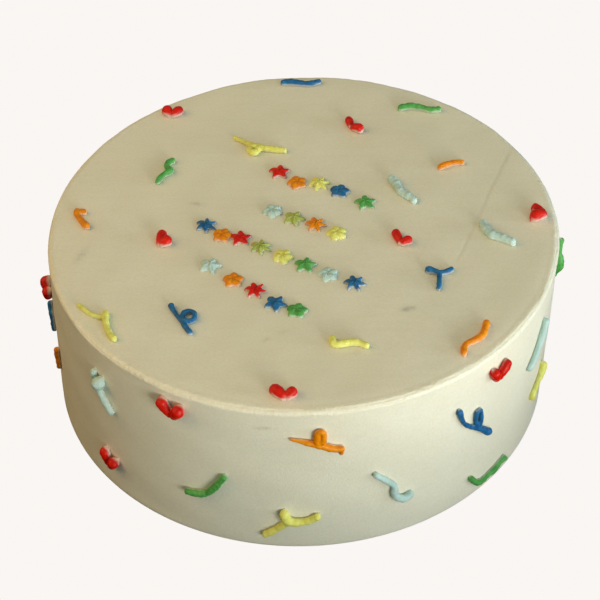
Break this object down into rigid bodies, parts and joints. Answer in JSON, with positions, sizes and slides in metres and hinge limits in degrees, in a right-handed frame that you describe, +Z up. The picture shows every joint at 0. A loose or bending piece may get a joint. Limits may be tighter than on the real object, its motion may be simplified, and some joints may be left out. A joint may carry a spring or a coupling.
{
  "type": "birthday cake",
  "caption": "Round frosted birthday cake, uncut, with confetti piping: coloured squiggles and small red hearts on its top and side, and rows of small piped marks on the top.",
  "frame": {"origin": "the middle of the cake's flat underside", "axes": "+Z up, -Y towards the front of the cake, +X to the right as seen from the front"},
  "size_m": [0.2077, 0.207, 0.0803],
  "materials": {
    "frosting": "smooth matt cream frosting",
    "red": "soft satin icing",
    "orange": "soft satin icing",
    "yellow": "soft satin icing",
    "green": "soft satin icing",
    "blue": "soft satin icing",
    "mint": "soft satin icing"
  },
  "bodies": {
    "root": {"blue_fork_top_right": "blue", "blue_hook_back_right": "blue", "blue_loop_back_left": "blue", "blue_loop_side_right": "blue", "blue_loop_top_left": "blue", "blue_wave_back_middle": "blue", "blue_wave_side_left": "blue", "blue_wave_top_back": "blue", "frosted_cake": "frosting", "green_curl_top_left": "green", "green_curve_back_right": "green", "green_curve_side_front": "green", "green_hook_back_left": "green", "green_loop_side_right": "green", "green_wave_back_left": "green", "green_wave_side_right": "green", "green_wave_top_back": "green", "heart_back_left": "red", "heart_back_left_low": "red", "heart_back_middle": "red", "heart_back_middle_low": "red", "heart_back_right": "red", "heart_back_right_low": "red", "heart_side_front_left": "red", "heart_side_left_edge": "red", "heart_side_left_low": "red", "heart_side_right": "red", "heart_top_back": "red", "heart_top_back_left": "red", "heart_top_front": "red", "heart_top_left": "red", "heart_top_middle": "red", "heart_top_right": "red", "mint_curve_back_left": "mint", "mint_hook_side_front": "mint", "mint_hook_top_right": "mint", "mint_line_side_right": "mint", "mint_line_top_right": "mint", "mint_loop_back_middle": "mint", "mint_loop_side_left": "mint", "mint_wave_back_right": "mint", "orange_hook_back_left": "orange", "orange_hook_top_left": "orange", "orange_line_side_left": "orange", "orange_loop_side_front": "orange", "orange_wave_back_right": "orange", "orange_wave_top_front": "orange", "orange_wave_top_right": "orange", "yellow_curve_back_left": "yellow", "yellow_hook_side_front": "yellow", "yellow_loop_back_right": "yellow", "yellow_loop_top_back": "yellow", "yellow_peak_top_left": "yellow", "yellow_step_side_right": "yellow", "yellow_wave_back_middle": "yellow", "yellow_wave_top_front": "yellow"}
  },
  "joints": []
}
